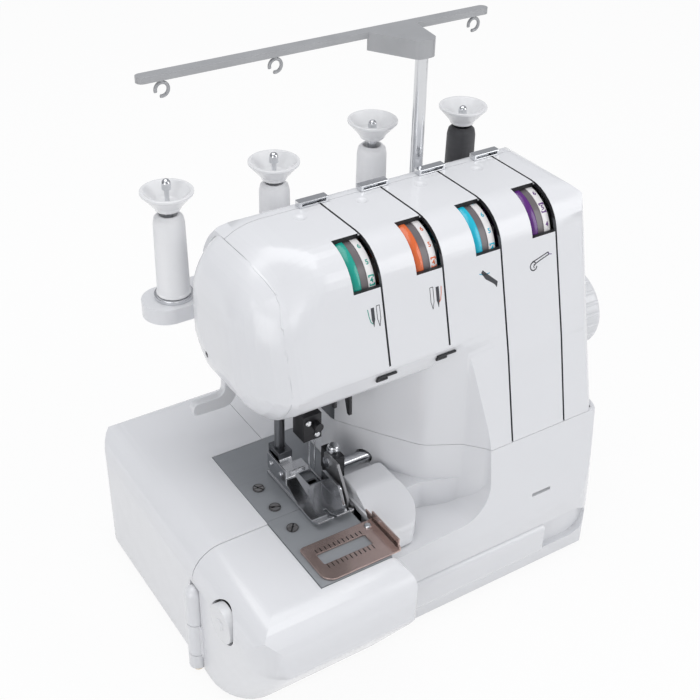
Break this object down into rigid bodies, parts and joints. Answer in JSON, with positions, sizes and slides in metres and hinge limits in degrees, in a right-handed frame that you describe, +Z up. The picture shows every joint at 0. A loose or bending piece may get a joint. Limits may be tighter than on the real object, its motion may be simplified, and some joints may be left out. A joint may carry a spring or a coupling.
{
  "type": "serger overlock machine",
  "caption": "Table-top overlock sewing machine with tension dials, thread stand, knives and an opening looper cover.",
  "frame": {"origin": "centre of the whole machine's footprint, on the table", "axes": "+X to the sewer's right, where the handwheel is; +Y to the back; +Z up"},
  "size_m": [0.332, 0.248, 0.37],
  "materials": {
    "white_body": "glossy moulded white with a cool tint",
    "white_caps": "glossy moulded white",
    "grey_pan": "matte moulded grey",
    "black_rubber": "matte black",
    "cast_frame": "die-cast, as moulded",
    "bright_steel": "polished and plated",
    "plate_steel": "fine satin",
    "tool_steel": "ground",
    "dark_metal": "satin black",
    "brass": "turned",
    "dark_plastic": "matte black",
    "grey_bar": "satin grey",
    "white_cops": "fine matte, as wound thread",
    "dark_cop": "fine matte, as wound thread",
    "teal_dial": "glossy moulded",
    "orange_dial": "glossy moulded",
    "cyan_dial": "glossy moulded",
    "purple_dial": "glossy moulded"
  },
  "bodies": {
    "machine": {"base_pan": "grey_pan", "rubber_feet": "black_rubber", "inner_frame": "cast_frame", "bed_cover": "white_body", "hinge_pin": "brass", "lower_cover": "white_body", "bumper_bar": "white_body", "upper_cover": "white_body", "head_end_cover": "white_body", "rear_cover": "white_body", "knife_cover": "white_body", "cover_screws": "dark_metal", "cloth_plate": "plate_steel", "needle_plate": "plate_steel", "plate_screws": "bright_steel", "lower_knife": "tool_steel", "presser_spring": "bright_steel", "shaft_bushes": "brass", "drive_belt": "black_rubber", "motor_body": "dark_metal", "power_inlet": "dark_plastic", "tension_studs": "bright_steel", "tension_discs": "bright_steel", "deck_guides": "bright_steel", "hook_guides": "dark_metal", "spool_tray": "white_body", "spool_pins": "bright_steel", "spool_caps": "white_caps", "mast_outer": "bright_steel"},
    "looper_door": {"looper_cover": "white_body"},
    "length_knob": {"length_dial": "white_body"},
    "main_drive": {"main_shaft": "bright_steel", "handwheel": "white_body", "driven_pulley": "dark_metal"},
    "motor_rotor": {"motor_pulley": "bright_steel"},
    "needle_unit": {"needle_bar": "bright_steel", "needle_clamp": "dark_metal", "needles": "bright_steel"},
    "rocker": {"needle_rocker": "tool_steel"},
    "take_up": {"take_up_lever": "dark_metal"},
    "knife_unit": {"upper_knife": "tool_steel", "knife_arm": "dark_metal"},
    "feed_unit": {"feed_dogs": "tool_steel"},
    "lower_looper_unit": {"lower_looper": "tool_steel"},
    "upper_looper_unit": {"upper_looper": "tool_steel"},
    "presser_unit": {"presser_bar": "bright_steel", "presser_foot": "bright_steel"},
    "lifter_unit": {"lifter_lever": "white_body"},
    "left_needle_tension": {"left_needle_dial": "teal_dial"},
    "right_needle_tension": {"right_needle_dial": "orange_dial"},
    "upper_looper_tension": {"upper_looper_dial": "cyan_dial"},
    "lower_looper_tension": {"lower_looper_dial": "purple_dial"},
    "guide_mast": {"mast_inner": "bright_steel", "guide_bar": "grey_bar"},
    "cop_1": {"thread_cop_1": "white_cops"},
    "cop_2": {"thread_cop_2": "white_cops"},
    "cop_3": {"thread_cop_3": "white_cops"},
    "cop_4": {"thread_cop_4": "dark_cop"},
    "guide_unit": {"seam_guide": "bright_steel"},
    "switch_rocker": {"power_switch": "dark_plastic"}
  },
  "joints": [
    {"name": "looper_cover_swing", "type": "hinge", "parent": "machine", "child": "looper_door", "pos_m": [-0.16, -0.036, 0.05], "axis": [0, 0, 1], "range_deg": [-105, 0]},
    {"name": "length_dial_turn", "type": "hinge", "parent": "machine", "child": "length_knob", "pos_m": [-0.159, -0.074, 0.076], "axis": [1, 0, 0], "range_deg": [-140, 140]},
    {"name": "handwheel_spin", "type": "hinge", "parent": "machine", "child": "main_drive", "pos_m": [0.151, -0.01, 0.17], "axis": [1, 0, 0], "continuous": true},
    {"name": "motor_spin", "type": "hinge", "parent": "machine", "child": "motor_rotor", "pos_m": [0.121, 0.062, 0.05], "axis": [1, 0, 0], "continuous": true},
    {"name": "needle_bar_slide", "type": "slide", "parent": "machine", "child": "needle_unit", "axis": [0, 0, 1], "range_m": [-0.024, 0]},
    {"name": "needle_rocker_swing", "type": "hinge", "parent": "machine", "child": "rocker", "pos_m": [-0.009, 0.028, 0.252], "axis": [1, 0, 0], "range_deg": [0, 39.5]},
    {"name": "take_up_swing", "type": "hinge", "parent": "machine", "child": "take_up", "pos_m": [-0.04375, 0.006, 0.21825], "axis": [1, 0, 0], "range_deg": [0, 14.5]},
    {"name": "upper_knife_swing", "type": "hinge", "parent": "machine", "child": "knife_unit", "pos_m": [-0.039, -0.012, 0.1045], "axis": [1, 0, 0], "range_deg": [-12.5, 0]},
    {"name": "feed_dog_slide", "type": "slide", "parent": "machine", "child": "feed_unit", "axis": [0, 1, 0], "range_m": [-0.002, 0.002]},
    {"name": "lower_looper_swing", "type": "hinge", "parent": "machine", "child": "lower_looper_unit", "pos_m": [-0.081, -0.001, 0.034], "axis": [0, 1, 0], "range_deg": [-12.5, 0]},
    {"name": "upper_looper_swing", "type": "hinge", "parent": "machine", "child": "upper_looper_unit", "pos_m": [-0.035, -0.016, 0.04], "axis": [0, 1, 0], "range_deg": [-12.5, 0]},
    {"name": "presser_bar_lift", "type": "slide", "parent": "machine", "child": "presser_unit", "axis": [0, 0, 1], "range_m": [0, 0.0055], "stiffness_N_per_m": 500, "springref_m": -0.02, "deforming": ["presser_spring"]},
    {"name": "lifter_lever_swing", "type": "hinge", "parent": "machine", "child": "lifter_unit", "pos_m": [-0.075, 0.062, 0.18524], "axis": [0, 1, 0], "range_deg": [0, 30.5]},
    {"name": "left_needle_dial_turn", "type": "hinge", "parent": "machine", "child": "left_needle_tension", "pos_m": [-0.039, -0.01392, 0.255], "axis": [1, 0, 0], "range_deg": [-120, 120]},
    {"name": "right_needle_dial_turn", "type": "hinge", "parent": "machine", "child": "right_needle_tension", "pos_m": [0.006, -0.01392, 0.255], "axis": [1, 0, 0], "range_deg": [-120, 120]},
    {"name": "upper_looper_dial_turn", "type": "hinge", "parent": "machine", "child": "upper_looper_tension", "pos_m": [0.051, -0.01392, 0.255], "axis": [1, 0, 0], "range_deg": [-120, 120]},
    {"name": "lower_looper_dial_turn", "type": "hinge", "parent": "machine", "child": "lower_looper_tension", "pos_m": [0.096, -0.01392, 0.255], "axis": [1, 0, 0], "range_deg": [-120, 120]},
    {"name": "mast_slide", "type": "slide", "parent": "machine", "child": "guide_mast", "axis": [0, 0, 1], "range_m": [-0.045, 0]},
    {"name": "thread_cop_1_spin", "type": "hinge", "parent": "machine", "child": "cop_1", "pos_m": [-0.109, 0.077, 0.23], "axis": [0, 0, 1], "continuous": true},
    {"name": "thread_cop_2_spin", "type": "hinge", "parent": "machine", "child": "cop_2", "pos_m": [-0.033, 0.077, 0.23], "axis": [0, 0, 1], "continuous": true},
    {"name": "thread_cop_3_spin", "type": "hinge", "parent": "machine", "child": "cop_3", "pos_m": [0.043, 0.077, 0.23], "axis": [0, 0, 1], "continuous": true},
    {"name": "thread_cop_4_spin", "type": "hinge", "parent": "machine", "child": "cop_4", "pos_m": [0.119, 0.077, 0.23], "axis": [0, 0, 1], "continuous": true},
    {"name": "seam_guide_slide", "type": "slide", "parent": "machine", "child": "guide_unit", "axis": [1, 0, 0], "range_m": [-0.015, 0]},
    {"name": "power_switch_rock", "type": "hinge", "parent": "machine", "child": "switch_rocker", "pos_m": [0.136, -0.024, 0.04], "axis": [0, 1, 0], "range_deg": [-9, 0]}
  ],
  "couplings": [
    {"joint": "motor_spin", "follows": "handwheel_spin", "ratio": 3},
    {"joint": "needle_rocker_swing", "follows": "needle_bar_slide", "rad_per_m": -28.2},
    {"joint": "take_up_swing", "follows": "needle_bar_slide", "rad_per_m": -10.2},
    {"joint": "upper_knife_swing", "follows": "needle_bar_slide", "rad_per_m": 8.73},
    {"joint": "feed_dog_slide", "follows": "needle_bar_slide", "ratio": 0.08},
    {"joint": "lower_looper_swing", "follows": "needle_bar_slide", "rad_per_m": 8.73},
    {"joint": "upper_looper_swing", "follows": "needle_bar_slide", "rad_per_m": 8.73},
    {"joint": "lifter_lever_swing", "follows": "presser_bar_lift", "rad_per_m": 95.2}
  ]
}
